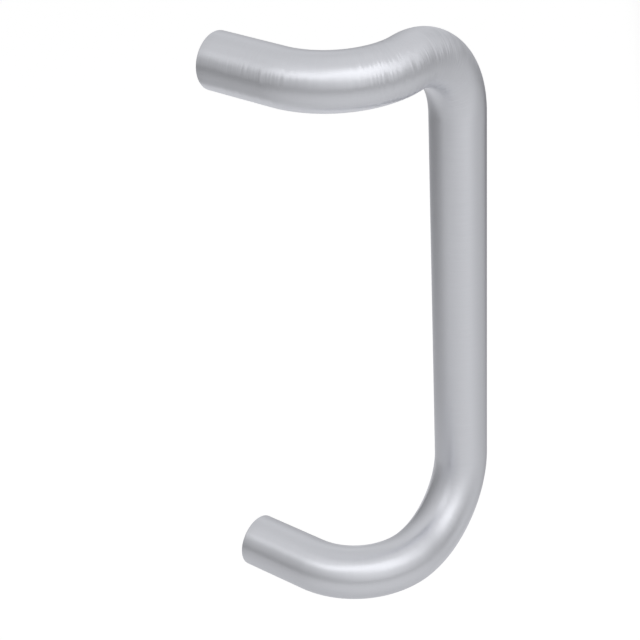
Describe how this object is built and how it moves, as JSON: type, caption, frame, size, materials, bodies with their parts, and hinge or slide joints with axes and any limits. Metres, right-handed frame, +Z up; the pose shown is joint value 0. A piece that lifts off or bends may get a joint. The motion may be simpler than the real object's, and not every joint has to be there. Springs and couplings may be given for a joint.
{
  "type": "offset pull handle",
  "caption": "Door pull bent from one round bar: two feet for the door's face, legs that turn sideways, and an upright grip offset from the fixings.",
  "frame": {"origin": "midway between the two fixing holes, on the door's face", "axes": "+Z up along the grip, +Y into the door along the fixing holes, so the handle stands out along -Y; the grip is offset towards +X"},
  "size_m": [0.1004, 0.0832, 0.2794],
  "materials": {
    "satin_aluminium": "satin, with fine brush lines round the bar, clear anodised"
  },
  "bodies": {
    "root": {"pull_handle": "satin_aluminium"}
  },
  "joints": []
}
